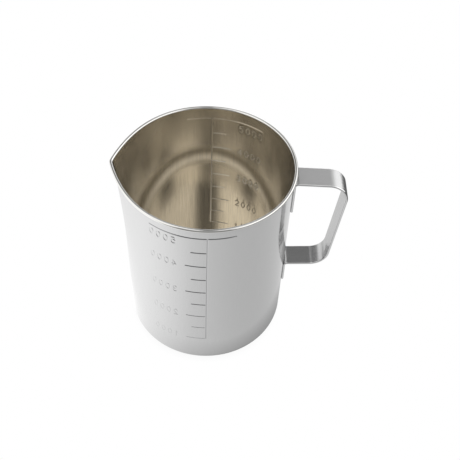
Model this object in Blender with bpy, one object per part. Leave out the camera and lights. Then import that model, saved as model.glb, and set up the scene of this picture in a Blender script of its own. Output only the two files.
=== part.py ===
"""Graduated stainless-steel pouring pot with a flat-strap handle.

Pieces: one deep-drawn pot with spout, flared lip and stamped scales, one bent
strap handle, and the spot-weld nuggets that join the strap's two end flanges
to the pot wall.

Frame: origin at the centre of the base on the resting plane, +Z up through the
mouth, +X towards the handle, -X towards the spout. Units are metres.
"""
import math

import bmesh
import bpy
from mathutils import Vector

MM = 0.001

# ---------------------------------------------------------------- pot
POT_HEIGHT = 230.0 * MM          # resting plane to top of the lip
WALL = 1.0 * MM                  # sheet thickness
POT_R = 88.0 * MM                # outside radius of the straight wall
BASE_CORNER_R = 16.0 * MM        # outside radius of the base corner
BASE_PANEL_R = 58.0 * MM         # circle through the corners of the base's middle panel

# lip: the sheet is rolled outward into an open curl, its cut edge turned under
LIP_BEND_R = 0.8 * MM            # radius on the concave, outer side
LIP_BEND_DEG = 225.0
LIP_STEPS = 9

# spout, pressed out of the wall opposite the handle
SPOUT_REACH = 8.2 * MM           # at the lip, beyond the round wall
SPOUT_DEPTH = 112.0 * MM         # height over which it fades into the wall
SPOUT_HALF_DEG = 54.0            # half width at the lip
SPOUT_FADE = 3.3                 # how fast the flanks run out to the round wall
SPOUT_TIP_DEG = 1.4              # softening of the V at its tip

# scales: pressed in from the outside, so a mark is a groove outside and a ridge inside
MARK_WIDTH = 1.0 * MM
MARK_DEPTH = 0.35 * MM
MARK_TOP_Z = 215.5 * MM          # the 5000 ml line
MARK_STEP_Z = 21.0 * MM          # one 500 ml step
MARK_COUNT = 9                   # 5000 down to 1000 by 500
SHORT_TICK_DEG = 10.2
LONG_TICK_DEG = 14.0
TOP_LINE_NUMBER_DEG = 39.0       # top line, on the side of the numbers
TOP_LINE_FREE_DEG = 18.0         # top line, on the other side
MARK_GAP_DEG = 0.45              # between the upright line and a tick's end
SCALES = ((-88.6, -1.0), (88.1, -1.0))   # azimuth of the upright line, direction of the ticks

# ---------------------------------------------------------------- handle
STRAP_W = 26.0 * MM
STRAP_T = 2.5 * MM
STRAP_EDGE = 0.45 * MM           # chamfer along the strap's long edges
FLANGE_GAP = 0.6 * MM            # faying gap that the weld nuggets fill
UPPER_FLANGE_END_Z = 173.6 * MM
LOWER_FLANGE_END_Z = 60.2 * MM
UPPER_STRAP_Z = 215.2 * MM       # middle of the strip, at the wall
UPPER_SLOPE_DEG = -1.45          # falling outward
CORNER_X = 146.8 * MM            # outer faces of upper strap and grip meet here
GRIP_LEAN_DEG = 5.5              # grip leans in towards the pot as it goes down
LOWER_STRAP_Z = 89.55 * MM
LOWER_SLOPE_DEG = 3.1            # rising outward
BIG_BEND_R = 20.15 * MM          # middle of the strip, at the two outer corners
SMALL_BEND_R = 3.4 * MM          # middle of the strip, at the two flanges
FLANGE_CORNER_R = 2.5 * MM
CONTOUR_RUN = 9.0 * MM           # over which the flange's curved section flattens out

# ---------------------------------------------------------------- welds
NUGGET_D = 5.5 * MM
NUGGET_T = 0.34 * MM
NUGGET_Y = 6.0 * MM              # half the sideways spacing
UPPER_NUGGET_Z = (184.0 * MM, 202.0 * MM)
LOWER_NUGGET_Z = (67.5 * MM, 79.5 * MM)


def clear_scene():
    for obj in list(bpy.data.objects):
        bpy.data.objects.remove(obj, do_unlink=True)


def steel(name, colour, roughness):
    mat = bpy.data.materials.new(name)
    mat.use_nodes = True
    bsdf = mat.node_tree.nodes["Principled BSDF"]
    bsdf.inputs["Base Color"].default_value = (*colour, 1.0)
    bsdf.inputs["Metallic"].default_value = 1.0
    bsdf.inputs["Roughness"].default_value = roughness
    return mat


def add_object(name, verts, faces, material, smooth_deg=35.0):
    mesh = bpy.data.meshes.new(name)
    mesh.from_pydata([tuple(v) for v in verts], [], faces)
    bm = bmesh.new()
    bm.from_mesh(mesh)
    bmesh.ops.recalc_face_normals(bm, faces=bm.faces)
    bm.to_mesh(mesh)
    bm.free()
    obj = bpy.data.objects.new(name, mesh)
    bpy.context.scene.collection.objects.link(obj)
    if material is not None:
        mesh.materials.append(material)
    mesh.shade_smooth()
    mesh.set_sharp_from_angle(angle=math.radians(smooth_deg))
    return obj


# ================================================================ pot shape
def spout_push(azimuth, z):
    """How far the spout moves the sheet outward at this azimuth and height."""
    depth = max(0.0, POT_HEIGHT - z)
    if depth >= SPOUT_DEPTH:
        return 0.0
    off = math.degrees(abs(math.remainder(azimuth - math.pi, 2 * math.pi)))
    fall = (1.0 - depth / SPOUT_DEPTH) ** 2
    half = SPOUT_HALF_DEG * (0.62 + 0.38 * (1.0 - depth / SPOUT_DEPTH))
    tip = SPOUT_TIP_DEG * (1.0 + 3.0 * depth / SPOUT_DEPTH)
    s = (math.hypot(off, tip) - tip) / half
    return 0.0 if s >= 1.0 else SPOUT_REACH * fall * (1.0 - s) ** SPOUT_FADE


def pot_profile():
    """Half section of the sheet, from the base's underside out, up the outside,
    over the lip and down the inside to the floor."""
    outer, inner = [], []
    corner = POT_R - BASE_CORNER_R
    steps = 6
    for i in range(steps + 1):
        a = math.radians(90.0 * i / steps)
        outer.append((corner + BASE_CORNER_R * math.sin(a),
                      BASE_CORNER_R * (1.0 - math.cos(a))))
        r_in = BASE_CORNER_R - WALL
        inner.append((corner + r_in * math.sin(a),
                      WALL + r_in * (1.0 - math.cos(a))))

    end = math.radians(LIP_BEND_DEG)
    bend_z = POT_HEIGHT - (LIP_BEND_R + WALL)
    depths = [0.0, 8.0, 17.0, 27.0, 39.0, 53.0, 70.0, 90.0]
    levels = [bend_z - d * MM for d in depths if bend_z - d * MM > POT_HEIGHT - SPOUT_DEPTH]
    levels.append(POT_HEIGHT - SPOUT_DEPTH)
    for z in reversed(levels):
        outer.append((POT_R, z))
        inner.append((POT_R - WALL, z))

    centre_r = POT_R + LIP_BEND_R
    for i in range(1, LIP_STEPS + 1):
        a = end * i / LIP_STEPS
        outer.append((centre_r - LIP_BEND_R * math.cos(a), bend_z + LIP_BEND_R * math.sin(a)))
        inner.append((centre_r - (LIP_BEND_R + WALL) * math.cos(a),
                      bend_z + (LIP_BEND_R + WALL) * math.sin(a)))
    # rounded edge between the two faces
    mid = ((outer[-1][0] + inner[-1][0]) / 2, (outer[-1][1] + inner[-1][1]) / 2)
    edge = []
    for deg in (45.0, 90.0, 135.0):
        a = math.radians(deg)
        ux, uz = math.cos(end), -math.sin(end)        # from the middle towards the outer face
        vx, vz = math.sin(end), math.cos(end)         # along the flange
        edge.append((mid[0] + WALL / 2 * (ux * math.cos(a) + vx * math.sin(a)),
                     mid[1] + WALL / 2 * (uz * math.cos(a) + vz * math.sin(a))))
    return outer + edge + inner[::-1]


def pot_azimuths():
    """Columns round the pot: closer together across the spout."""
    out = []
    a = 0.0
    while a < 360.0 - 1e-6:
        out.append(math.radians(a))
        off = abs(a - 180.0 + 1e-9)
        a += 1.5 if off < 9.0 else 2.5 if off < 24.0 else 3.75
    return out


def close_disc(faces, ring, tri, flip):
    """Fill a ring of vertices round a middle triangle."""
    n = len(ring)
    third = n / 3.0
    owner = [int(((i + 0.5) / third) % 3) for i in range(n)]
    for i in range(n):
        j = (i + 1) % n
        f = [ring[i], ring[j], tri[owner[i]]]
        faces.append(f[::-1] if flip else f)
        k = owner[j]
        if k != owner[i]:
            f = [ring[j], tri[k], tri[owner[i]]]
            faces.append(f[::-1] if flip else f)
    faces.append(list(tri) if not flip else list(tri)[::-1])


def build_pot(material):
    profile = pot_profile()
    azimuths = pot_azimuths()
    n = len(azimuths)
    verts, faces = [], []
    for r, z in profile:
        for a in azimuths:
            rr = r + spout_push(a, z)
            verts.append(Vector((rr * math.cos(a), rr * math.sin(a), z)))
    for j in range(len(profile) - 1):
        for i in range(n):
            k = (i + 1) % n
            faces.append((j * n + i, j * n + k, (j + 1) * n + k, (j + 1) * n + i))
    for row, z in ((0, 0.0), (len(profile) - 1, WALL)):
        base = len(verts)
        for t in range(3):
            # corner t of the middle triangle faces the middle of its third of the ring
            a = azimuths[min(n - 1, int((t + 0.5) * n / 3.0))]
            verts.append(Vector((BASE_PANEL_R * math.cos(a), BASE_PANEL_R * math.sin(a), z)))
        close_disc(faces, [row * n + i for i in range(n)], (base, base + 1, base + 2), row == 0)
    return add_object("body_shell", verts, faces, material)


# ================================================================ scale marks
def bar(verts, faces, az0, az1, z0, z1, r0, r1, step_deg=3.0):
    """A curved bar on the wall between two azimuths, heights and radii."""
    count = max(1, int(round(abs(az1 - az0) / step_deg)))
    base = len(verts)
    for i in range(count + 1):
        a = math.radians(az0 + (az1 - az0) * i / count)
        for r, z in ((r0, z0), (r1, z0), (r1, z1), (r0, z1)):
            verts.append(Vector((r * math.cos(a), r * math.sin(a), z)))
    for i in range(count):
        p, q = base + 4 * i, base + 4 * (i + 1)
        for c in range(4):
            d = (c + 1) % 4
            faces.append((p + c, p + d, q + d, q + c))
    faces.append((base, base + 1, base + 2, base + 3))
    last = base + 4 * count
    faces.append((last + 3, last + 2, last + 1, last))


def scale_bars(name, r0, r1):
    """All the lines of both scales as one set of separate bars."""
    verts, faces = [], []
    half_w = MARK_WIDTH / 2
    half_deg = math.degrees(half_w / POT_R)
    for az, way in SCALES:
        low = MARK_TOP_Z - (MARK_COUNT - 1) * MARK_STEP_Z
        bar(verts, faces, az - way * TOP_LINE_FREE_DEG, az + way * TOP_LINE_NUMBER_DEG,
            MARK_TOP_Z - half_w, MARK_TOP_Z + half_w, r0, r1)
        bar(verts, faces, az - half_deg, az + half_deg,
            low - half_w, MARK_TOP_Z - half_w - 0.6 * MM, r0, r1)
        for i in range(1, MARK_COUNT):
            z = MARK_TOP_Z - i * MARK_STEP_Z
            length = LONG_TICK_DEG if i % 2 == 0 else SHORT_TICK_DEG
            start = half_deg + MARK_GAP_DEG
            bar(verts, faces, az + way * start, az + way * length,
                z - half_w, z + half_w, r0, r1)
    tool = add_object(name, verts, faces, None)
    tool.hide_render = True
    tool.display_type = "WIRE"
    return tool


def stamp_scales(pot):
    groove = scale_bars("scale_groove_tool", POT_R - MARK_DEPTH, POT_R + 1.0 * MM)
    ridge = scale_bars("scale_ridge_tool", POT_R - WALL - MARK_DEPTH, POT_R - WALL + 0.3 * MM)
    for tool, operation in ((groove, "DIFFERENCE"), (ridge, "UNION")):
        mod = pot.modifiers.new(tool.name, "BOOLEAN")
        mod.object = tool
        mod.operation = operation
        mod.solver = "EXACT"


# ================================================================ handle
def line_cross(p, d, q, e):
    """Where the line p + s d meets the line q + t e, in the XZ plane."""
    den = d[0] * e[1] - d[1] * e[0]
    s = ((q[0] - p[0]) * e[1] - (q[1] - p[1]) * e[0]) / den
    return (p[0] + d[0] * s, p[1] + d[1] * s)


def strap_path():
    """Middle line of the strip in the XZ plane, as (point, tangent, flange share)."""
    fx = POT_R + FLANGE_GAP + STRAP_T / 2
    up, lo = math.radians(UPPER_SLOPE_DEG), math.radians(LOWER_SLOPE_DEG)
    lean = math.radians(GRIP_LEAN_DEG)
    upper_d = (math.cos(up), math.sin(up))
    lower_d = (math.cos(lo), math.sin(lo))
    grip_d = (-math.sin(lean), -math.cos(lean))
    # outer corner of the outer faces, moved in by half a thickness along both normals
    upper_p = (POT_R, UPPER_STRAP_Z)
    corner_z = UPPER_STRAP_Z + (CORNER_X - POT_R) * math.tan(up) + STRAP_T / 2 / math.cos(up)
    grip_p = (CORNER_X - STRAP_T / 2 * math.cos(lean), corner_z + STRAP_T / 2 * math.sin(lean))
    lower_p = (POT_R, LOWER_STRAP_Z)
    corners = [
        (fx, UPPER_FLANGE_END_Z),
        line_cross((fx, 0.0), (0.0, 1.0), upper_p, upper_d),
        line_cross(upper_p, upper_d, grip_p, grip_d),
        line_cross(grip_p, grip_d, lower_p, lower_d),
        line_cross(lower_p, lower_d, (fx, 0.0), (0.0, 1.0)),
        (fx, LOWER_FLANGE_END_Z),
    ]
    radii = [0.0, SMALL_BEND_R, BIG_BEND_R, BIG_BEND_R, SMALL_BEND_R, 0.0]
    steps = [0, 4, 9, 9, 4, 0]

    points = []                                   # (x, z, tx, tz)
    for i, (c, radius) in enumerate(zip(corners, radii)):
        if radius == 0.0:
            other = corners[1] if i == 0 else corners[-2]
            d = (other[0] - c[0], other[1] - c[1])
            if i:
                d = (-d[0], -d[1])
            n = math.hypot(*d)
            points.append((c[0], c[1], d[0] / n, d[1] / n))
            continue
        p, q = corners[i - 1], corners[i + 1]
        a = (c[0] - p[0], c[1] - p[1])
        b = (q[0] - c[0], q[1] - c[1])
        na, nb = math.hypot(*a), math.hypot(*b)
        a, b = (a[0] / na, a[1] / na), (b[0] / nb, b[1] / nb)
        turn = math.atan2(a[0] * b[1] - a[1] * b[0], a[0] * b[0] + a[1] * b[1])
        reach = radius * math.tan(abs(turn) / 2)
        sx, sz = c[0] - a[0] * reach, c[1] - a[1] * reach
        side = 1.0 if turn > 0 else -1.0
        ox, oz = sx - a[1] * radius * side, sz + a[0] * radius * side
        for s in range(steps[i] + 1):
            t = turn * s / steps[i]
            rx, rz = sx - ox, sz - oz
            x = ox + rx * math.cos(t) - rz * math.sin(t)
            z = oz + rx * math.sin(t) + rz * math.cos(t)
            points.append((x, z, a[0] * math.cos(t) - a[1] * math.sin(t),
                           a[0] * math.sin(t) + a[1] * math.cos(t)))
    return points


def densify(points, near_ends, flat_step):
    """Extra stations close to both ends, for the rounded flange corners, and
    along the straights, so that the curved section can fade out."""
    out = []
    total = len(points)
    for i in range(total - 1):
        x0, z0, tx, tz = points[i]
        x1, z1, ux, uz = points[i + 1]
        out.append(points[i])
        length = math.hypot(x1 - x0, z1 - z0)
        straight = tx * ux + tz * uz > 0.9999
        cuts = []
        if i == 0:
            cuts = [s for s in near_ends if s < length]
        elif i == total - 2:
            cuts = sorted(length - s for s in near_ends if s < length)
        elif straight and length > flat_step * 2:
            cuts = [flat_step, length - flat_step]
        for s in cuts:
            out.append((x0 + tx * s, z0 + tz * s, tx, tz))
    out.append(points[-1])
    return out


def build_handle(material):
    c = FLANGE_CORNER_R
    near = [c * (1 - math.cos(math.radians(d))) for d in (30.0, 60.0, 90.0)]
    path = densify(strap_path(), near, CONTOUR_RUN)
    dist = [0.0]
    for p, q in zip(path, path[1:]):
        dist.append(dist[-1] + math.hypot(q[0] - p[0], q[1] - p[1]))
    total = dist[-1]
    half_t = STRAP_T / 2
    ts = (-1.0, -0.66, -0.33, 0.0, 0.33, 0.66, 1.0)
    verts, faces = [], []
    ring = 0
    flange_x = POT_R + FLANGE_GAP + half_t
    for (x, z, tx, tz), s in zip(path, dist):
        nx, nz = -tz, tx                          # towards the wall on both flanges' bends
        to_end = min(s, total - s)
        half_w = STRAP_W / 2
        if to_end < c:
            half_w -= c - math.sqrt(max(0.0, c * c - (c - to_end) ** 2))
        share = max(0.0, min(1.0, 1.0 - (x - flange_x) / CONTOUR_RUN))
        share = share * share * (3 - 2 * share)
        loop = []
        flat = half_w - STRAP_EDGE
        loop += [(flat * t, half_t) for t in ts]
        loop += [(half_w, half_t - STRAP_EDGE), (half_w, -half_t + STRAP_EDGE)]
        loop += [(flat * t, -half_t) for t in reversed(ts)]
        loop += [(-half_w, -half_t + STRAP_EDGE), (-half_w, half_t - STRAP_EDGE)]
        ring = len(loop)
        for y, h in loop:
            hug = (math.sqrt(flange_x ** 2 - y ** 2) - flange_x) * share
            verts.append(Vector((x + nx * h + hug, y, z + nz * h)))
    rows = len(path)
    for j in range(rows - 1):
        for i in range(ring):
            k = (i + 1) % ring
            faces.append((j * ring + i, j * ring + k, (j + 1) * ring + k, (j + 1) * ring + i))
    # both cut ends, closed strip by strip across the width
    count = len(ts)
    for row in (0, rows - 1):
        base = row * ring
        top = [base + i for i in range(count)]
        bottom = [base + count + 2 + (count - 1 - i) for i in range(count)]
        for i in range(count - 1):
            faces.append((top[i], top[i + 1], bottom[i + 1], bottom[i]))
        faces.append((top[-1], base + count, base + count + 1, bottom[-1]))
        faces.append((bottom[0], base + ring - 2, base + ring - 1, top[0]))
    return add_object("handle_strap", verts, faces, material)


# ================================================================ welds
def build_nugget(name, y, z, material):
    """A thin round lens of weld metal, curved with the wall it lies on."""
    r_mid = POT_R + FLANGE_GAP / 2
    az = math.asin(y / r_mid)
    n = 24
    verts, faces = [], []
    for r in (r_mid - NUGGET_T / 2, r_mid + NUGGET_T / 2):
        verts.append(Vector((r * math.cos(az), r * math.sin(az), z)))
        for i in range(n):
            t = 2 * math.pi * i / n
            a = az + NUGGET_D / 2 * math.cos(t) / r_mid
            verts.append(Vector((r * math.cos(a), r * math.sin(a), z + NUGGET_D / 2 * math.sin(t))))
    far = n + 1
    for i in range(n):
        k = (i + 1) % n
        faces.append((0, 1 + k, 1 + i))
        faces.append((far, far + 1 + i, far + 1 + k))
        faces.append((1 + i, 1 + k, far + 1 + k, far + 1 + i))
    return add_object(name, verts, faces, material)


def main():
    clear_scene()
    pot_steel = steel("drawn_steel", (0.62, 0.61, 0.58), 0.22)
    strap_steel = steel("strap_steel", (0.60, 0.60, 0.60), 0.26)
    weld_steel = steel("weld_metal", (0.45, 0.44, 0.42), 0.45)

    pot = build_pot(pot_steel)
    stamp_scales(pot)
    build_handle(strap_steel)
    for label, heights in (("upper", UPPER_NUGGET_Z), ("lower", LOWER_NUGGET_Z)):
        number = 1
        for z in heights:
            for y in (-NUGGET_Y, NUGGET_Y):
                build_nugget(f"{label}_spot_weld_{number}", y, z, weld_steel)
                number += 1


main()
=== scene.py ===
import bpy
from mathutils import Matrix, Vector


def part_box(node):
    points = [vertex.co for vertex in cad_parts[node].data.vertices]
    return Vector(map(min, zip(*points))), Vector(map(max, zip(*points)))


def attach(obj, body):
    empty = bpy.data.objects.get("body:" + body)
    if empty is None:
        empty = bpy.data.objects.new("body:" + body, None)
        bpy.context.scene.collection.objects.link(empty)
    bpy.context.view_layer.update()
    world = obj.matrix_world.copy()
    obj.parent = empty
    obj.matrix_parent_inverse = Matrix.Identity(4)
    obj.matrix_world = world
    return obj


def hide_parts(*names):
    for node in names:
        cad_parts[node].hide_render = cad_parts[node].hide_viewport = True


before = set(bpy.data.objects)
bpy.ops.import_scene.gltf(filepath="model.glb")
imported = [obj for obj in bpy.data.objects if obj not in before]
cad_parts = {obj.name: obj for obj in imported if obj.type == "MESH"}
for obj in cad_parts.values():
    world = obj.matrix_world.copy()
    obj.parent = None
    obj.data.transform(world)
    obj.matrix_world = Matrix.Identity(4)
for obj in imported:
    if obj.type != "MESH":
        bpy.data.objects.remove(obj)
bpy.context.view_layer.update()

import math

import bpy
import numpy as np
from mathutils import Matrix, Vector

MM = 0.001

# ------------------------------------------------------------------ sizes, from the frame
pot_lo, pot_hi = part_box("body_shell")
strap_lo, strap_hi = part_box("handle_strap")

# the frame's solids are faceted, so its sizes are read to the nearest 0.1 mm
H = round(pot_hi[2], 4)             # top of the lip
LIP_R = round(pot_hi[0], 4)         # lip's outer radius, away from the spout
WALL = 1.0 * MM
ROLL_R = 1.8 * MM                   # outside radius of the rolled lip
ROLL_TURN = math.radians(225.0)
POT_R = LIP_R - 2 * ROLL_R + WALL   # outside radius of the straight wall
CORNER_R = 16.0 * MM

SPOUT_REACH = 8.2 * MM
SPOUT_DEPTH = 112.0 * MM
SPOUT_HALF_DEG = 54.0
SPOUT_FADE = 3.3
SPOUT_TIP_DEG = 1.4

# stamped scales: grooves outside, ridges inside
TOP_Z = 215.5 * MM
STEP_Z = 21.0 * MM
LINE_W = 1.6 * MM                   # full width of a stamped line, foot to foot
LINE_D = 0.42 * MM
UPRIGHT_W = 1.6 * MM
UPRIGHT_D = 0.40 * MM
SCALES = ((-88.6, -1.0), (88.1, -1.0))
SHORT_DEG, LONG_DEG = 10.2, 14.0
TOP_NUMBER_DEG, TOP_FREE_DEG = 39.0, 18.0
DIGIT_FIRST_DEG, DIGIT_PITCH_DEG = 21.6, 5.3
DIGIT_H, DIGIT_W = 8.2 * MM, 4.3 * MM    # stroke centre lines
DIGIT_LINE_W, DIGIT_D = 1.6 * MM, 0.26 * MM
NUMBERS = (("5000", 207.3), ("4000", 173.5), ("3000", 131.3), ("2000", 89.8), ("1000", 48.0))


# ------------------------------------------------------------------ curves
class Path:
    """Lines and arcs joined end to end in a plane, read by distance."""

    def __init__(self, start):
        self.parts, self.ends, self.at = [], [0.0], start

    def line(self, x, z):
        (a, b) = self.at
        n = math.hypot(x - a, z - b)
        if n > 1e-12:
            self.parts.append(("line", (a, b), ((x - a) / n, (z - b) / n), n))
            self.ends.append(self.ends[-1] + n)
        self.at = (x, z)
        return self

    def arc(self, cx, cz, turn):
        """Turns about (cx, cz) by an angle; positive goes from x towards z."""
        a, b = self.at[0] - cx, self.at[1] - cz
        r = math.hypot(a, b)
        self.parts.append(("arc", (cx, cz, math.atan2(b, a), r), turn, abs(turn) * r))
        self.ends.append(self.ends[-1] + abs(turn) * r)
        t = math.atan2(b, a) + turn
        self.at = (cx + r * math.cos(t), cz + r * math.sin(t))
        return self

    def read(self, s):
        """Position and unit tangent for an array of distances."""
        s = np.asarray(s, float)
        x, z, tx, tz = (np.zeros_like(s) for _ in range(4))
        for i, (kind, where, way, n) in enumerate(self.parts):
            lo = self.ends[i] if i else -1e9
            hi = self.ends[i + 1] if i < len(self.parts) - 1 else 1e9
            m = (s >= lo) & (s < hi) if i < len(self.parts) - 1 else (s >= lo)
            d = s[m] - self.ends[i]
            if kind == "line":
                x[m], z[m] = where[0] + way[0] * d, where[1] + way[1] * d
                tx[m], tz[m] = way
            else:
                cx, cz, a0, r = where
                sign = 1.0 if way > 0 else -1.0
                t = a0 + sign * d / r
                x[m], z[m] = cx + r * np.cos(t), cz + r * np.sin(t)
                tx[m], tz[m] = -sign * np.sin(t), sign * np.cos(t)
        return x, z, tx, tz

    @property
    def length(self):
        return self.ends[-1]


def bump(d, width):
    """1 in the middle of a stamped line, 0 from half its width on."""
    u = np.clip(np.abs(d) / (width / 2), 0.0, 1.0)
    return np.cos(u * math.pi / 2) ** 2


def smooth(lo, hi, v):
    u = np.clip((v - lo) / (hi - lo), 0.0, 1.0)
    return u * u * (3 - 2 * u)


# ------------------------------------------------------------------ digits
def digit_strokes(ch):
    """Centre line of a plain rounded figure in a 1 by 1 cell, as lists of points."""
    def ell(cx, cz, rx, rz, a0, a1, n=14):
        return [(cx + rx * math.cos(math.radians(a0 + (a1 - a0) * i / n)),
                 cz + rz * math.sin(math.radians(a0 + (a1 - a0) * i / n))) for i in range(n + 1)]
    if ch == "0":
        return [ell(0.5, 0.5, 0.5, 0.5, 0, 360, 24)]
    if ch == "1":
        return [[(0.30, 0.80), (0.58, 1.0), (0.58, 0.0)]]
    if ch == "2":
        return [ell(0.5, 0.70, 0.46, 0.30, 165, -28, 12) + [(0.03, 0.0), (1.0, 0.0)]]
    if ch == "3":
        return [ell(0.48, 0.75, 0.42, 0.25, 150, -90, 12), ell(0.48, 0.25, 0.48, 0.25, 90, -150, 12)]
    if ch == "4":
        return [[(0.72, 0.0), (0.72, 1.0), (0.02, 0.30), (1.0, 0.30)]]
    if ch == "5":
        return [[(0.92, 1.0), (0.16, 1.0), (0.08, 0.54)] + ell(0.48, 0.32, 0.48, 0.32, 135, -145, 14)]
    return []


def stroke_distance(u, v, strokes):
    """Distance in metres from points (u, v) to a figure's strokes."""
    best = np.full(u.shape, 1.0)
    for line in strokes:
        pts = [((p[0] - 0.5) * DIGIT_W, (p[1] - 0.5) * DIGIT_H) for p in line]
        for (ax, az), (bx, bz) in zip(pts, pts[1:]):
            dx, dz = bx - ax, bz - az
            n = dx * dx + dz * dz
            t = np.clip(((u - ax) * dx + (v - az) * dz) / n, 0.0, 1.0)
            best = np.minimum(best, np.hypot(u - ax - t * dx, v - az - t * dz))
    return best


def marks(az, z):
    """Depth of the stamping on the wall, how much its lines are darkened in the colour outside,
    and inside the painted light on its crest, a painted highlight above zero and painted shade below."""
    shape = np.broadcast(az, z).shape
    out, dark, painted_crest_light = np.zeros(shape), np.zeros(shape), np.zeros(shape)
    deg = np.degrees(az)
    arc = POT_R * math.pi / 180.0
    low = TOP_Z - 8 * STEP_Z
    for line, way in SCALES:
        off = (deg - line + 180.0) % 360.0 - 180.0
        off = off * way                              # positive on the numbers' side
        near = (off > -TOP_FREE_DEG - 2) & (off < TOP_NUMBER_DEG + 2) & (z > low - 8 * MM)
        if not near.any():
            continue
        o, zz = off[near], z[near]
        d, k, w = np.zeros_like(o), np.zeros_like(o), np.zeros_like(o)

        def stroke(o0, o1, zc, width, depth, darken, crest_light=0.9):
            dx = np.maximum(0.0, np.maximum(o0 - o, o - o1)) * arc
            b = bump(np.hypot(dx, zz - zc), width)
            np.maximum(d, depth * b, out=d)
            np.maximum(k, darken * b, out=k)
            np.copyto(w, crest_light * b, where=abs(crest_light) * b > np.abs(w))

        # inside, the top line's crest gets painted shade and the ticks' and upright's crests a painted
        # highlight
        stroke(-TOP_FREE_DEG, -0.75, TOP_Z, LINE_W, LINE_D, 0.9, -0.35)
        stroke(0.75, TOP_NUMBER_DEG, TOP_Z, LINE_W, LINE_D, 0.95, -0.35)
        up = np.maximum(0.0, np.maximum(low - zz, zz - (TOP_Z + 0.2 * MM)))
        b = bump(np.hypot(o * arc, up), UPRIGHT_W)
        d = np.maximum(d, UPRIGHT_D * b)
        k = np.maximum(k, 0.45 * b)
        w = np.maximum(w, b)
        for i in range(1, 9):
            reach = LONG_DEG if i % 2 == 0 else SHORT_DEG
            worn = float(smooth(4.6, 6.4, i))        # the stamp bit less towards the base
            stroke(0.9, reach, TOP_Z - i * STEP_Z, LINE_W, LINE_D * (1.0 - 0.4 * worn),
                   0.95 - 0.78 * worn)
        for text, zc in NUMBERS:
            for n, ch in enumerate(text):
                c = DIGIT_FIRST_DEG + n * DIGIT_PITCH_DEG
                # read from inside the pot the numbers run away from the upright line
                u, v = (o - c) * arc, zz - zc * MM
                m = (np.abs(u) < DIGIT_W) & (np.abs(v) < DIGIT_H)
                if m.any():
                    far = stroke_distance(u[m], v[m], digit_strokes(ch))
                    b = bump(far, DIGIT_LINE_W)
                    d[m] = np.maximum(d[m], DIGIT_D * b)
                    k[m] = np.maximum(k[m], (0.20, 0.13, 0.08, 0.04)[n] * b)
                    # the upper figures get a painted highlight with a ring of painted shade round the
                    # strokes, the lower ones painted shade
                    edge = bump(far - 1.35 * MM, 1.2 * MM)
                    w[m] += (1.2 * b - 0.5 * edge) if zc > 120.0 else -0.8 * b
        out[near] = np.maximum(out[near], d)
        dark[near] = np.maximum(dark[near], k)
        painted_crest_light[near] += w
    return out, dark, painted_crest_light


def spout_push(az, z):
    depth = np.clip(H - z, 0.0, SPOUT_DEPTH)
    off = np.degrees(np.abs((az - math.pi + math.pi) % (2 * math.pi) - math.pi))
    share = 1.0 - depth / SPOUT_DEPTH
    half = SPOUT_HALF_DEG * (0.62 + 0.38 * share)
    tip = SPOUT_TIP_DEG * (1.0 + 3.0 * (1.0 - share))
    s = (np.hypot(off, tip) - tip) / half
    return SPOUT_REACH * share ** 2 * np.clip(1.0 - s, 0.0, 1.0) ** SPOUT_FADE


# ------------------------------------------------------------------ the pot's sheet
def pot_path():
    corner = POT_R - CORNER_R
    bend_z = H - ROLL_R
    cr = POT_R - WALL + ROLL_R
    p = Path((0.0, 0.0)).line(corner, 0.0)
    p.arc(corner, CORNER_R, math.pi / 2)
    p.line(POT_R, bend_z)
    p.arc(cr, bend_z, -ROLL_TURN)
    out = (-math.cos(ROLL_TURN), math.sin(ROLL_TURN))
    mid = (cr + out[0] * (ROLL_R - WALL / 2), bend_z + out[1] * (ROLL_R - WALL / 2))
    p.arc(mid[0], mid[1], math.pi)
    p.arc(cr, bend_z, ROLL_TURN)
    p.line(POT_R - WALL, CORNER_R)
    p.arc(corner, CORNER_R, -math.pi / 2)
    p.line(0.0, WALL)
    return p, bend_z


POT_PATH, BEND_Z = pot_path()


def pot_point(az, s):
    r, z, _, _ = POT_PATH.read(s)
    e = POT_PATH.ends
    on_wall = ((s > e[2]) & (s < e[3])) | ((s > e[6]) & (s < e[7]))
    push = spout_push(az, z) * (r > POT_R - CORNER_R - 1e-6)
    m = np.zeros_like(r)
    if on_wall.any():
        m[on_wall] = marks(az[on_wall], z[on_wall])[0]
    rr = r + push - m
    return np.stack([rr * np.cos(az), rr * np.sin(az), z], -1)


def merge(values, gap):
    out = []
    for v in sorted(values):
        if not out or v - out[-1] > gap:
            out.append(v)
    return out


def pot_rows():
    e = POT_PATH.ends
    zs = [17.0, 18.5, 22.0, 30.0, 38.0]
    zs += list(np.arange(112.0, BEND_Z / MM, 4.5))
    zs += [BEND_Z / MM - d for d in (0.25, 0.8, 1.8, 3.2, 5.0)]
    for i in range(9):
        c = (TOP_Z - i * STEP_Z) / MM
        zs += [c + d for d in (-1.1, -0.85, -0.6, -0.4, -0.2, 0.0, 0.2, 0.4, 0.6, 0.85, 1.1)]
        zs += [c + 10.5]
    for _, c in NUMBERS:
        zs += list(np.arange(c - 5.0, c + 5.05, 0.42))
    zs = [z for z in merge(zs, 0.17) if 16.2 < z < BEND_Z / MM - 0.2]
    wall = [z * MM - CORNER_R for z in zs]
    rows = [0.0] + [v * MM for v in (12.0, 30.0, 48.0, 62.0, 70.0, 71.7)]
    rows += list(np.linspace(e[1], e[2], 19))
    rows += [e[2] + w for w in wall]
    for i, n in ((3, 26), (4, 14), (5, 40)):
        rows += list(np.linspace(e[i], e[i + 1], n + 1))[:-1]
    rows += [e[6]]
    rows += [e[7] - w for w in reversed(wall)]
    rows += list(np.linspace(e[7], e[8], 19))
    rows += [e[8] + (POT_R - CORNER_R) - v * MM for v in (71.7, 70.0, 62.0, 48.0, 30.0, 12.0, 0.0)]
    return np.array(merge(rows, 0.02 * MM))


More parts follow.
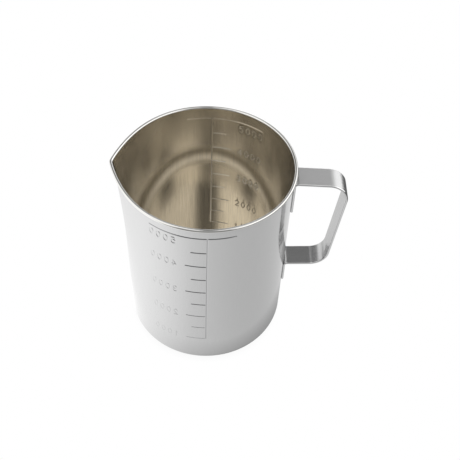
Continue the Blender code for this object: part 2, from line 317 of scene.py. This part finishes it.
def pot_columns():
    cols = list(np.arange(0.0, 360.0, 2.0))
    cols += list(180.0 + np.arange(-34.0, 34.1, 1.0))
    cols += list(180.0 + np.arange(-9.0, 9.01, 0.4))
    for line, way in SCALES:
        offs = [d for d in (-0.75, -0.6, -0.45, -0.3, -0.15, 0.0, 0.15, 0.3, 0.45, 0.6, 0.75, 1.0, 1.3)]
        for end in (SHORT_DEG, LONG_DEG, TOP_NUMBER_DEG):
            offs += [end + d for d in (-0.4, 0.0, 0.25, 0.5, 0.75)]
        offs += [-TOP_FREE_DEG - d for d in (-0.4, 0.0, 0.25, 0.5, 0.75)]
        first = DIGIT_FIRST_DEG - 2.1
        last = DIGIT_FIRST_DEG + 3 * DIGIT_PITCH_DEG + 2.1
        offs += list(np.arange(first, last + 0.01, 0.27))
        cols += [(line + way * o) % 360.0 for o in offs]
    return np.radians(np.array(merge(cols, 0.11)))


def add_mesh(name, verts, faces, normals, materials, face_slots=None, uvs=None):
    mesh = bpy.data.meshes.new(name)
    mesh.from_pydata(verts.tolist(), [], faces)
    for m in materials:
        mesh.materials.append(m)
    if face_slots is not None:
        mesh.polygons.foreach_set("material_index", np.asarray(face_slots, np.int32))
    if uvs is not None:
        layer = mesh.uv_layers.new(name="sheet")
        layer.data.foreach_set("uv", np.asarray(uvs, np.float32).ravel())
    mesh.shade_smooth()
    if normals is not None:
        mesh.normals_split_custom_set_from_vertices(normals.tolist())
    mesh.update()
    obj = bpy.data.objects.new(name, mesh)
    bpy.context.scene.collection.objects.link(obj)
    return obj


def build_pot(materials):
    rows, cols = pot_rows(), pot_columns()
    nr, nc = len(rows), len(cols)
    inner_rows = rows[1:-1]
    A, Sg = np.meshgrid(cols, inner_rows)
    a, s = A.ravel(), Sg.ravel()
    verts = pot_point(a, s)
    da, ds = 0.03 * MM / POT_R, 0.03 * MM
    along = pot_point(a + da, s) - pot_point(a - da, s)
    up = pot_point(a, s + ds) - pot_point(a, s - ds)
    normals = np.cross(along, up)
    normals /= np.linalg.norm(normals, axis=1, keepdims=True)
    verts = np.vstack([verts, [[0.0, 0.0, 0.0]], [[0.0, 0.0, WALL]]])
    normals = np.vstack([normals, [[0.0, 0.0, -1.0]], [[0.0, 0.0, 1.0]]])
    bottom, top = len(verts) - 2, len(verts) - 1
    faces, slots, uvs = [], [], []
    e = POT_PATH.ends
    ni = len(inner_rows)
    turn = np.append(cols, cols[0] + 2 * math.pi) * POT_R
    for j in range(ni - 1):
        s0, s1 = inner_rows[j], inner_rows[j + 1]
        mid = (s0 + s1) / 2
        slot = 0 if mid < e[3] else 2 if mid < e[6] else 1
        for i in range(nc):
            k = (i + 1) % nc
            faces.append((j * nc + i, j * nc + k, (j + 1) * nc + k, (j + 1) * nc + i))
            slots.append(slot)
            uvs += [(turn[i], s0), (turn[i + 1], s0), (turn[i + 1], s1), (turn[i], s1)]
    last = (ni - 1) * nc
    for i in range(nc):
        k = (i + 1) % nc
        faces.append((bottom, k, i))
        slots.append(0)
        uvs += [(turn[i], 0.0), (turn[i + 1], inner_rows[0]), (turn[i], inner_rows[0])]
        faces.append((top, last + i, last + k))
        slots.append(1)
        uvs += [(turn[i], rows[-1]), (turn[i], inner_rows[-1]), (turn[i + 1], inner_rows[-1])]
    pot = add_mesh("pot_body", verts, faces, normals, materials, slots, uvs)
    _, z, _, _ = POT_PATH.read(s)
    on_wall = ((s > e[2]) & (s < e[3])) | ((s > e[6]) & (s < e[7]))
    depth = np.zeros(len(verts), np.float32)
    depth[:-2][on_wall] = marks(a[on_wall], z[on_wall])[1]
    # how much the stamped lines are darkened in the colour outside
    layer = pot.data.attributes.new("stamp", "FLOAT", "POINT")
    layer.data.foreach_set("value", depth)
    inside = (s > e[6]) & (s < e[7])
    d = 0.45 * MM
    here, under, above = (marks(a[inside], z[inside] + k)[2] for k in (0.0, -d, d))
    # painted light on the inner wall: painted highlight on the crests and on each ridge's upper side,
    # painted shade on its lower side, towards the mouth and in the drawn corner
    painted_sheen_and_shade = np.zeros(len(verts), np.float32)
    # painted shade: the wall darker towards the mouth
    mouth_shade = 0.32 * smooth(150 * MM, 205 * MM, z[inside])
    painted_sheen_and_shade[:-2][inside] = here + 0.25 * (np.abs(under) - np.abs(above)) - mouth_shade
    # painted shade in the drawn corner, which is also made rougher
    reach = np.where(s > e[7], np.clip((e[8] + 9 * MM - s) / (10 * MM), 0, 1),
                     np.clip((s - e[7] - 1 * MM) / (6 * MM), 0, 1)) * (s > e[6])
    painted_sheen_and_shade[:-2] -= 0.9 * reach * reach * (3 - 2 * reach)
    layer = pot.data.attributes.new("painted_sheen_and_shade", "FLOAT", "POINT")
    layer.data.foreach_set("value", painted_sheen_and_shade)
    return pot


# ------------------------------------------------------------------ the strap handle
STRAP_W = strap_hi[1] - strap_lo[1]
STRAP_T = 2.5 * MM
STRAP_EDGE_R = 1.15 * MM
FLANGE_GAP = 0.08 * MM
UPPER_END_Z = 173.6 * MM
LOWER_END_Z = strap_lo[2]
UPPER_Z = 215.2 * MM
UPPER_SLOPE = math.radians(-1.45)
CORNER_X = 146.8 * MM
LEAN = math.radians(5.5)
LOWER_Z = 89.55 * MM
LOWER_SLOPE = math.radians(3.1)
BIG_R, SMALL_R = 20.15 * MM, 3.4 * MM
END_CORNER_R = 2.5 * MM
CONTOUR_RUN = 9.0 * MM


def cross2(p, d, q, e):
    den = d[0] * e[1] - d[1] * e[0]
    t = ((q[0] - p[0]) * e[1] - (q[1] - p[1]) * e[0]) / den
    return (p[0] + d[0] * t, p[1] + d[1] * t)


def strap_path():
    fx = POT_R + FLANGE_GAP + STRAP_T / 2
    up_d = (math.cos(UPPER_SLOPE), math.sin(UPPER_SLOPE))
    lo_d = (math.cos(LOWER_SLOPE), math.sin(LOWER_SLOPE))
    grip_d = (-math.sin(LEAN), -math.cos(LEAN))
    up_p, lo_p = (POT_R, UPPER_Z), (POT_R, LOWER_Z)
    corner_z = UPPER_Z + (CORNER_X - POT_R) * math.tan(UPPER_SLOPE) + STRAP_T / 2 / math.cos(UPPER_SLOPE)
    grip_p = (CORNER_X - STRAP_T / 2 * math.cos(LEAN), corner_z + STRAP_T / 2 * math.sin(LEAN))
    corners = [(fx, UPPER_END_Z),
               cross2((fx, 0.0), (0.0, 1.0), up_p, up_d),
               cross2(up_p, up_d, grip_p, grip_d),
               cross2(grip_p, grip_d, lo_p, lo_d),
               cross2(lo_p, lo_d, (fx, 0.0), (0.0, 1.0)),
               (fx, LOWER_END_Z)]
    radii = [0.0, SMALL_R, BIG_R, BIG_R, SMALL_R, 0.0]
    path = Path(corners[0])
    for i in range(1, 5):
        p, c, q = corners[i - 1], corners[i], corners[i + 1]
        a = Vector((c[0] - p[0], c[1] - p[1])).normalized()
        b = Vector((q[0] - c[0], q[1] - c[1])).normalized()
        turn = math.atan2(a.x * b.y - a.y * b.x, a.dot(b))
        reach = radii[i] * math.tan(abs(turn) / 2)
        path.line(c[0] - a.x * reach, c[1] - a.y * reach)
        side = 1.0 if turn > 0 else -1.0
        path.arc(path.at[0] - a.y * radii[i] * side, path.at[1] + a.x * radii[i] * side, turn)
    path.line(*corners[5])
    return path, fx


STRAP_PATH, FLANGE_X = strap_path()
WELDS = [(y * MM, z * MM) for z in (184.0, 202.0, 67.5, 79.5) for y in (-6.0, 6.0)]


def section_point(c, half_w, half_t):
    """A rounded rectangle's outline at share c of the way round, as (y, h)."""
    r = np.minimum(STRAP_EDGE_R, half_t * 0.999)
    fw, ft = np.maximum(half_w - r, 1e-6), np.maximum(half_t - r, 0.0)
    q = r * math.pi / 2
    lens = [2 * fw, q, 2 * ft, q, 2 * fw, q, 2 * ft, q]
    total = sum(lens)
    d = c * total
    y, h = np.zeros_like(d), np.zeros_like(d)
    start = np.zeros_like(d)
    specs = (("top",), ("c", 1, 1, 90), ("right",), ("c", 1, -1, 0), ("bottom",),
             ("c", -1, -1, -90), ("left",), ("c", -1, 1, 180))
    for spec, n in zip(specs, lens):
        m = (d >= start - 1e-12) & (d <= start + n + 1e-12)
        t = d - start
        if spec[0] == "top":
            y, h = np.where(m, -fw + t, y), np.where(m, half_t, h)
        elif spec[0] == "bottom":
            y, h = np.where(m, fw - t, y), np.where(m, -half_t, h)
        elif spec[0] == "right":
            y, h = np.where(m, half_w, y), np.where(m, ft - t, h)
        elif spec[0] == "left":
            y, h = np.where(m, -half_w, y), np.where(m, -ft + t, h)
        else:
            a = np.radians(spec[3]) - t / r
            y = np.where(m, spec[1] * fw + r * np.cos(a), y)
            h = np.where(m, spec[2] * ft + r * np.sin(a), h)
        start = start + n
    return y, h


def strap_point(s, c):
    x, z, tx, tz = STRAP_PATH.read(s)
    to_end = np.minimum(s, STRAP_PATH.length - s)
    k = np.clip(END_CORNER_R - to_end, 0.0, END_CORNER_R)
    half_w = STRAP_W / 2 - (END_CORNER_R - np.sqrt(np.maximum(0.0, END_CORNER_R ** 2 - k ** 2)))
    er = 0.8 * MM
    k = np.clip(er - to_end, 0.0, er)
    half_t = STRAP_T / 2 - er + np.sqrt(np.maximum(0.0, er ** 2 - k ** 2))
    y, h = section_point(c, half_w, half_t)
    share = 1.0 - smooth(0.0, 1.0, (x - FLANGE_X) / CONTOUR_RUN)
    hug = (np.sqrt(FLANGE_X ** 2 - y ** 2) - FLANGE_X) * share
    # electrode dimples on the flanges' outward faces
    dent = np.zeros_like(x)
    for wy, wz in WELDS:
        d = np.hypot(y - wy, z - wz)
        dent = np.maximum(dent, 0.16 * MM * (1.0 - smooth(1.8 * MM, 3.1 * MM, d)))
    nx, nz = -tz, tx
    outward = (nx * np.sign(h) > 0.5) & (share > 0.98) & (x < FLANGE_X + 1 * MM)
    h = h - np.sign(h) * np.where(outward, dent, 0.0)
    return np.stack([x + nx * h + hug, y, z + nz * h], -1)


def build_strap(materials):
    e = STRAP_PATH.ends
    rows = [0.0]
    rows += [0.8 * MM * (1 - math.cos(math.radians(d))) for d in (25, 45, 60, 75, 90)]
    rows += [END_CORNER_R * (1 - math.cos(math.radians(d))) for d in (45, 60, 75, 90)]
    tail = [STRAP_PATH.length - r for r in rows]
    body = []
    flat = {0: 0.55, 2: 2.5, 4: 4.0, 6: 2.5, 8: 0.55}
    bend = {1: 12, 3: 30, 5: 30, 7: 12}
    for i in range(9):
        if i in flat:
            n = max(2, int((e[i + 1] - e[i]) / (flat[i] * MM)))
        else:
            n = bend[i]
        body += list(np.linspace(e[i], e[i + 1], n + 1))
    rows = merge(rows + tail + body, 0.05 * MM)
    rows = [r for r in rows if 0.0 <= r <= STRAP_PATH.length]
    half_w, half_t = STRAP_W / 2, STRAP_T / 2
    r = STRAP_EDGE_R
    fw, ft, q = half_w - r, half_t - r, r * math.pi / 2
    lens = [2 * fw, q, 2 * ft, q, 2 * fw, q, 2 * ft, q]
    steps = [40, 7, 2, 7, 40, 7, 2, 7]
    cs, at = [], 0.0
    for n, k in zip(lens, steps):
        cs += [at + n * i / k for i in range(k)]
        at += n
    cs = np.array(cs) / at
    nc, nr = len(cs), len(rows)
    C, Sg = np.meshgrid(cs, np.array(rows))
    c, s = C.ravel(), Sg.ravel()
    verts = strap_point(s, c)
    ds, dc = 0.02 * MM, 0.02 * MM / at
    lo, hi = np.clip(s - ds, 0, STRAP_PATH.length), np.clip(s + ds, 0, STRAP_PATH.length)
    a = strap_point(hi, c) - strap_point(lo, c)
    b = strap_point(s, (c + dc) % 1.0) - strap_point(s, (c - dc) % 1.0)
    normals = np.cross(a, b)
    n = np.linalg.norm(normals, axis=1, keepdims=True)
    normals = normals / np.maximum(n, 1e-15)
    faces, uvs, slots = [], [], []
    cu = np.append(cs, 1.0) * at
    for j in range(nr - 1):
        for i in range(nc):
            k = (i + 1) % nc
            # the long edges are linished smooth, the two flats stay brushed
            slots.append(1 if 40 <= i % 56 else 0)
            faces.append((j * nc + i, (j + 1) * nc + i, (j + 1) * nc + k, j * nc + k))
            uvs += [(rows[j], cu[i]), (rows[j + 1], cu[i]), (rows[j + 1], cu[i + 1]), (rows[j], cu[i + 1])]
    # the two cut ends, closed across the thickness
    top_n = 40
    for row, flip in ((0, False), (nr - 1, True)):
        base = row * nc
        top = [base + i for i in range(0, top_n + 1)]
        bot = [base + top_n + 7 + 2 + 7 + (top_n - i) for i in range(0, top_n + 1)]
        strips = [(top[i], top[i + 1], bot[i + 1], bot[i]) for i in range(top_n)]
        right = tuple(base + i for i in range(top_n, top_n + 17))
        left = tuple([base + i for i in range(2 * top_n + 16, nc)] + [base])
        for f in strips + [right, left]:
            f = f[::-1] if flip else f
            faces.append(f)
            slots.append(1)
            uvs += [(rows[row], cu[(v - base) % nc]) for v in f]
    sign = 1.0
    # the outline runs clockwise seen along the path, so check which way the skin faces
    mid = (nr // 2) * nc + 5
    centre = verts[(nr // 2) * nc:(nr // 2 + 1) * nc].mean(0)
    if np.dot(normals[mid], verts[mid] - centre) < 0:
        sign = -1.0
    normals = normals * sign
    p = [verts[v] for v in faces[(nr // 2) * nc + 5]]
    fn = np.cross(p[1] - p[0], p[2] - p[0])
    if np.dot(fn, p[0] - centre) < 0:
        pos, flipped = 0, []
        new_faces = []
        for f in faces:
            u = uvs[pos:pos + len(f)]
            pos += len(f)
            new_faces.append(tuple(f[::-1]))
            flipped += u[::-1]
        faces, uvs = new_faces, flipped
    return add_mesh("strap_handle", verts, faces, normals, materials, slots, uvs)


# ------------------------------------------------------------------ materials
class Nodes:
    def __init__(self, tree):
        self.tree = tree
        tree.nodes.clear()

    def add(self, kind, **props):
        n = self.tree.nodes.new(kind)
        for k, v in props.items():
            if hasattr(n, k):
                setattr(n, k, v)
        return n

    def link(self, a, b):
        self.tree.links.new(a, b)

    def val(self, op, a, b=None, c=None, clamp=False):
        n = self.add("ShaderNodeMath", operation=op, use_clamp=clamp)
        for i, v in enumerate((a, b, c)):
            if v is None:
                continue
            if isinstance(v, (int, float)):
                n.inputs[i].default_value = v
            else:
                self.link(v, n.inputs[i])
        return n.outputs[0]

    def ramp(self, value, stops, mode="EASE"):
        n = self.add("ShaderNodeValToRGB")
        n.color_ramp.interpolation = mode
        els = n.color_ramp.elements
        while len(els) > 1:
            els.remove(els[-1])
        for i, (pos, v) in enumerate(stops):
            el = els[0] if i == 0 else els.new(pos)
            el.position = pos
            v = v if isinstance(v, tuple) else (v, v, v)
            el.color = (*v, 1.0)
        self.link(value, n.inputs[0])
        return n.outputs[0]

    def mix(self, f, a, b, blend="MIX"):
        n = self.add("ShaderNodeMix", data_type="RGBA", blend_type=blend)
        for sock, v in ((n.inputs[0], f), (n.inputs[6], a), (n.inputs[7], b)):
            if isinstance(v, (int, float)):
                sock.default_value = v
            elif isinstance(v, tuple):
                sock.default_value = (*v, 1.0)
            else:
                self.link(v, sock)
        return n.outputs[2]


def new_steel(name):
    mat = bpy.data.materials.new(name)
    mat.use_nodes = True
    g = Nodes(mat.node_tree)
    out = g.add("ShaderNodeOutputMaterial")
    bsdf = g.add("ShaderNodeBsdfPrincipled")
    bsdf.inputs["Metallic"].default_value = 1.0
    g.link(bsdf.outputs[0], out.inputs[0])
    return mat, g, bsdf


def streaks(g, vector, scale, stretch, detail=4.0):
    """Noise drawn out along one direction of the sheet."""
    m = g.add("ShaderNodeMapping")
    m.inputs["Scale"].default_value = stretch
    g.link(vector, m.inputs[0])
    n = g.add("ShaderNodeTexNoise", noise_dimensions="3D")
    n.inputs["Scale"].default_value = scale
    n.inputs["Detail"].default_value = detail
    n.inputs["Roughness"].default_value = 0.6
    g.link(m.outputs[0], n.inputs["Vector"])
    return n.outputs[0]


def steel_material(name, colour, rough, grain, grain_rough, tone, blot, stretch, bump_h,
                   aniso=0.0, turn=0.0, edge=1.0, stamp=0.0, painted_sheen_and_shade=0.0, deep=None):
    """Drawn or brushed steel. stretch sets the grain's direction on the sheet's own
    coordinates, tone and blot how much the grain and broad handling marks show, edge the
    tint at grazing angles, stamp how dark the stamped lines are made in the colour, relief
    how strong the painted highlight on a ridge's upper side and the painted shade on its lower
    side are (the shade also adds roughness), and deep the colour in reflections of reflections."""
    mat, g, bsdf = new_steel(name)
    uv = g.add("ShaderNodeUVMap", uv_map="sheet")
    geo = g.add("ShaderNodeNewGeometry")
    fine = streaks(g, uv.outputs[0], grain, stretch)
    broad = g.add("ShaderNodeTexNoise", noise_dimensions="3D")
    broad.inputs["Scale"].default_value = 22.0
    broad.inputs["Detail"].default_value = 3.0
    g.link(geo.outputs["Position"], broad.inputs["Vector"])
    light = tuple(min(1.0, c * (1 + tone)) for c in colour)
    dark = tuple(c * (1 - tone) for c in colour)
    base = g.mix(g.ramp(fine, ((0.30, 0.0), (0.70, 1.0)), "LINEAR"), dark, light)
    if stamp:
        at = g.add("ShaderNodeAttribute", attribute_name="stamp")
        # darkens the stamped lines in the colour
        base = g.mix(g.val("MULTIPLY", at.outputs["Fac"], stamp, clamp=True), base, (0.10, 0.10, 0.11))
    if painted_sheen_and_shade:
        at = g.add("ShaderNodeAttribute", attribute_name="painted_sheen_and_shade")
        up = g.val("MULTIPLY", at.outputs["Fac"], painted_sheen_and_shade, clamp=True)
        down = g.val("MULTIPLY", at.outputs["Fac"], -painted_sheen_and_shade, clamp=True)
        # painted highlight where the value is above zero, painted shade where it is below
        base = g.mix(up, base, (1.0, 0.97, 0.90))
        base = g.mix(down, base, (0.16, 0.14, 0.11))
    if deep:
        path = g.add("ShaderNodeLightPath")
        base = g.mix(path.outputs["Is Camera Ray"], deep, base)
    g.link(base, bsdf.inputs["Base Color"])
    bsdf.inputs["Specular Tint"].default_value = (edge, edge, edge, 1.0)
    r = g.val("MULTIPLY_ADD", fine, grain_rough * 2, rough - grain_rough)
    r = g.val("ADD", r, g.val("MULTIPLY_ADD", broad.outputs[0], blot * 2, -blot))
    if painted_sheen_and_shade:
        r = g.val("MULTIPLY_ADD", down, 0.30, r)
    g.link(r, bsdf.inputs["Roughness"])
    if aniso:
        bsdf.inputs["Anisotropic"].default_value = aniso
        bsdf.inputs["Anisotropic Rotation"].default_value = turn
        tan = g.add("ShaderNodeTangent", direction_type="UV_MAP", uv_map="sheet")
        g.link(tan.outputs[0], bsdf.inputs["Tangent"])
    if bump_h:
        b = g.add("ShaderNodeBump")
        b.inputs["Strength"].default_value = 1.0
        b.inputs["Distance"].default_value = bump_h
        g.link(fine, b.inputs["Height"])
        g.link(b.outputs[0], bsdf.inputs["Normal"])
    return mat


def make_materials():
    return {
        # drawing lines run up the wall, so a highlight spreads round the pot and stays
        # sharp up and down
        "outside": steel_material("drawn_steel_outside", (0.70, 0.70, 0.70), 0.08, 900.0, 0.015,
                                  0.015, 0.015, (1.0, 0.05, 1.0), 0.0, 0.5, 0.0, 1.0, 1.0),
        "inside": steel_material("drawn_steel_inside", (0.85, 0.745, 0.57), 0.10, 900.0, 0.02,
                                 0.15, 0.02, (1.0, 0.03, 1.0), 0.0, 0.9, 0.0, 0.95,
                                 painted_sheen_and_shade=0.8, deep=(0.82, 0.805, 0.775)),
        "lip": steel_material("polished_lip", (0.90, 0.89, 0.86), 0.08, 600.0, 0.01,
                              0.01, 0.01, (0.1, 1.0, 1.0), 0.0),
        # belt-brushed along its length
        "strap": steel_material("brushed_strap", (0.74, 0.74, 0.74), 0.21, 1400.0, 0.04,
                                0.05, 0.02, (0.03, 1.0, 1.0), 0.0, 1.0, 0.25, 0.9),
        "strap_edge": steel_material("linished_edge", (0.84, 0.84, 0.84), 0.10, 1400.0, 0.02,
                                     0.03, 0.02, (0.03, 1.0, 1.0), 0.0, 0.5, 0.25, 0.95),
        "weld": weld_material(),
    }


def weld_material():
    mat, g, bsdf = new_steel("weld_metal")
    geo = g.add("ShaderNodeNewGeometry")
    n = g.add("ShaderNodeTexNoise", noise_dimensions="3D")
    n.inputs["Scale"].default_value = 900.0
    n.inputs["Detail"].default_value = 5.0
    g.link(geo.outputs["Position"], n.inputs["Vector"])
    g.link(g.mix(g.ramp(n.outputs[0], ((0.3, 0.0), (0.7, 1.0))), (0.30, 0.28, 0.26), (0.52, 0.49, 0.45)),
           bsdf.inputs["Base Color"])
    g.link(g.val("MULTIPLY_ADD", n.outputs[0], 0.3, 0.3), bsdf.inputs["Roughness"])
    return mat


# ------------------------------------------------------------------ studio
def build_world():
    """Soft light on both sides and overhead, a pale backdrop low down behind the pot, and
    a dark room in front of it and above the backdrop."""
    world = bpy.data.worlds.new("studio")
    bpy.context.scene.world = world
    world.use_nodes = True
    g = Nodes(world.node_tree)
    out = g.add("ShaderNodeOutputWorld")
    tex = g.add("ShaderNodeTexCoord")
    sep = g.add("ShaderNodeSeparateXYZ")
    g.link(tex.outputs["Generated"], sep.inputs[0])
    x, y, z = sep.outputs[0], sep.outputs[1], sep.outputs[2]

    def step(value, lo, hi):
        n = g.add("ShaderNodeMapRange", interpolation_type="SMOOTHSTEP")
        n.inputs["From Min"].default_value = lo
        n.inputs["From Max"].default_value = hi
        g.link(value, n.inputs["Value"])
        return n.outputs["Result"]

    flat = g.val("SQRT", g.val("ADD", g.val("MULTIPLY", x, x), g.val("MULTIPLY", y, y)))
    hx = g.val("DIVIDE", x, g.val("MAXIMUM", flat, 0.001))
    hy = g.val("DIVIDE", y, g.val("MAXIMUM", flat, 0.001))
    right = step(hx, 0.28, 0.76)
    left = g.val("MULTIPLY", step(g.val("MULTIPLY", hx, -1.0), 0.34, 0.74), 0.78)
    side = g.val("MAXIMUM", right, left)
    front = step(g.val("MULTIPLY", hy, -1.0), 0.1, 0.5)
    low = g.val("SUBTRACT", 1.0, step(z, 0.40, 0.60))
    # a dark boom runs up in front of the pot and over it
    boom = g.val("SUBTRACT", 1.0, step(g.val("ABSOLUTE", g.val("SUBTRACT", x, 0.03)), 0.03, 0.15))
    high = step(z, 0.80, 0.92)
    ahead = g.val("MULTIPLY", step(z, 0.64, 0.76), front)
    behind = step(hy, -0.1, 0.4)
    back = g.val("MULTIPLY", behind, g.val("SUBTRACT", 1.0, step(z, 0.28, 0.42)))
    # light that has already gone round the inside of the pot
    over = g.val("MAXIMUM", high, g.val("MULTIPLY", ahead, 0.70))
    top = g.val("MULTIPLY", over, g.val("MULTIPLY_ADD", boom, -0.82, 1.0))
    sides = g.val("MULTIPLY", side, g.val("SUBTRACT", 1.0, g.val("MULTIPLY", front, low)))
    deep = g.val("MAXIMUM", g.val("MAXIMUM", sides, 0.13),
                 g.val("MAXIMUM", top, back))
    # what the lip, the strap and the marks see directly, with the fill lights
    base = g.val("MULTIPLY_ADD", front, 0.16, 0.16)
    over = g.val("MAXIMUM", high, ahead)
    top = g.val("MULTIPLY", over, g.val("MULTIPLY_ADD", boom, -0.66, 0.82))
    dim = g.val("MULTIPLY", step(hx, 0.09, 0.18),
                g.val("MULTIPLY", behind, g.val("MULTIPLY_ADD", step(z, 0.68, 0.80), -0.40, 0.56)))
    # the left-hand light stands forward, so the strap's lower bend sees past it
    past = g.val("MULTIPLY", behind, g.val("SUBTRACT", 1.0, step(g.val("MULTIPLY", hx, -1.0), 0.62, 0.92)))
    side = g.val("MAXIMUM", g.val("MULTIPLY", right, g.val("MULTIPLY_ADD", step(z, 0.66, 0.85), -0.5, 1.0)),
                 g.val("MULTIPLY", left, g.val("SUBTRACT", 1.0, past)))
    direct = g.val("MAXIMUM", g.val("MAXIMUM", g.val("MULTIPLY", side, 1.28), base),
                   g.val("MAXIMUM", top, g.val("MAXIMUM", back, dim)))
    path = g.add("ShaderNodeLightPath")
    first = g.val("LESS_THAN", path.outputs["Ray Depth"], 2.5)
    light = g.mix(first, deep, direct)
    bg = g.add("ShaderNodeBackground")
    g.link(light, bg.inputs[0])
    white = g.add("ShaderNodeBackground")
    white.inputs[0].default_value = (1.0, 1.0, 1.0, 1.0)
    mix = g.add("ShaderNodeMixShader")
    g.link(path.outputs["Is Camera Ray"], mix.inputs[0])
    g.link(bg.outputs[0], mix.inputs[1])
    g.link(white.outputs[0], mix.inputs[2])
    g.link(mix.outputs[0], out.inputs[0])


def build_floor():
    half, z = 3.0, -0.15 * MM
    verts = np.array([(-half, -half, z), (half, -half, z), (half, half, z), (-half, half, z)])
    mat = bpy.data.materials.new("pale_floor")
    mat.use_nodes = True
    g = Nodes(mat.node_tree)
    out = g.add("ShaderNodeOutputMaterial")
    geo = g.add("ShaderNodeNewGeometry")
    sep = g.add("ShaderNodeSeparateXYZ")
    g.link(geo.outputs["Position"], sep.inputs[0])
    x, y = sep.outputs[0], sep.outputs[1]
    r = g.val("SQRT", g.val("ADD", g.val("MULTIPLY", x, x), g.val("MULTIPLY", y, y)))

    def toward(degrees):
        t = math.radians(degrees)
        dot = g.val("ADD", g.val("MULTIPLY", x, math.cos(t)), g.val("MULTIPLY", y, math.sin(t)))
        return g.val("DIVIDE", dot, g.val("MAXIMUM", r, 0.001))

    # brightest to the left, fading round to the front right
    glow = g.val("MINIMUM", g.val("MULTIPLY_ADD", toward(145.0), 0.257, 0.857), 0.84)
    glow = g.val("MAXIMUM", glow, g.val("MULTIPLY_ADD", toward(187.0), 0.46, 0.60))
    # painted shade on the floor close round the pot's foot, darkest towards the right, with the floor
    # brightened a little there to the left
    near = g.val("MULTIPLY", g.val("SUBTRACT", r, 0.085), 1 / 0.030, clamp=True)
    foot = g.val("MULTIPLY_ADD", toward(-20.0), -0.31, 0.82)
    glow = g.val("MULTIPLY", glow, g.val("ADD", foot, g.val("MULTIPLY", near, g.val("SUBTRACT", 1.0, foot))))
    # the lit table ends some way off, in front and to the right
    far = g.add("ShaderNodeMapRange", interpolation_type="SMOOTHSTEP")
    far.inputs["From Min"].default_value = 0.27
    far.inputs["From Max"].default_value = 0.37
    g.link(r, far.inputs["Value"])
    way = g.add("ShaderNodeMapRange", interpolation_type="SMOOTHSTEP")
    way.inputs["From Min"].default_value = -0.50
    way.inputs["From Max"].default_value = -0.10
    g.link(toward(-30.0), way.inputs["Value"])
    gone = g.val("MULTIPLY", far.outputs["Result"], way.outputs["Result"])
    glow = g.val("MULTIPLY", glow, g.val("MULTIPLY_ADD", gone, -0.8, 1.0))
    em = g.add("ShaderNodeEmission")
    g.link(glow, em.inputs[0])
    # painted contact shadow: the floor the camera sees is darkened by the AO node round the pot's foot
    ao = g.add("ShaderNodeAmbientOcclusion", samples=8)
    ao.inputs["Distance"].default_value = 0.012
    shade = g.ramp(ao.outputs["AO"], ((0.0, 0.93), (0.7, 1.0)), "LINEAR")
    seen = g.add("ShaderNodeEmission")
    g.link(shade, seen.inputs[0])
    path = g.add("ShaderNodeLightPath")
    mix = g.add("ShaderNodeMixShader")
    g.link(path.outputs["Is Camera Ray"], mix.inputs[0])
    g.link(em.outputs[0], mix.inputs[1])
    g.link(seen.outputs[0], mix.inputs[2])
    g.link(mix.outputs[0], out.inputs[0])
    floor = add_mesh("studio_floor", verts, [(0, 1, 2, 3)], None, [mat])


def build_camera():
    cam = bpy.data.cameras.new("photo_view")
    cam.sensor_fit = "HORIZONTAL"
    cam.sensor_width = 36.0
    cam.lens = 57.62
    cam.shift_x = 0.0
    cam.shift_y = 0.4 / 460.0
    cam.clip_start, cam.clip_end = 0.01, 20.0
    obj = bpy.data.objects.new("photo_view", cam)
    pan, tilt, roll = 0.0303, 0.8477, 0.0504
    fwd = Vector((math.sin(pan) * math.cos(tilt), math.cos(pan) * math.cos(tilt), -math.sin(tilt)))
    right = Vector((math.cos(pan), -math.sin(pan), 0.0))
    up = right.cross(fwd)
    r2 = right * math.cos(roll) + up * math.sin(roll)
    u2 = up * math.cos(roll) - right * math.sin(roll)
    m = Matrix.Identity(4)
    for i in range(3):
        m[i][0], m[i][1], m[i][2] = r2[i], u2[i], -fwd[i]
    m.translation = Vector((0.00918, -0.53682, 0.73810))
    obj.matrix_world = m
    bpy.context.scene.collection.objects.link(obj)
    bpy.context.scene.camera = obj


def main():
    mats = make_materials()
    pot = build_pot([mats["outside"], mats["inside"], mats["lip"]])
    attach(pot, "root")
    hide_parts("body_shell")
    strap = build_strap([mats["strap"], mats["strap_edge"]])
    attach(strap, "root")
    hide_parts("handle_strap")
    for name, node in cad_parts.items():
        if "spot_weld" in name:
            node.data.materials.clear()
            node.data.materials.append(mats["weld"])
    build_world()
    build_floor()
    build_camera()
    scene = bpy.context.scene
    scene.view_settings.view_transform = "Standard"
    scene.view_settings.look = "None"
    scene.cycles.max_bounces = 24
    scene.cycles.glossy_bounces = 20
    scene.cycles.sample_clamp_indirect = 0.0
    print("pot faces", len(pot.data.polygons), "strap faces", len(strap.data.polygons))


main()
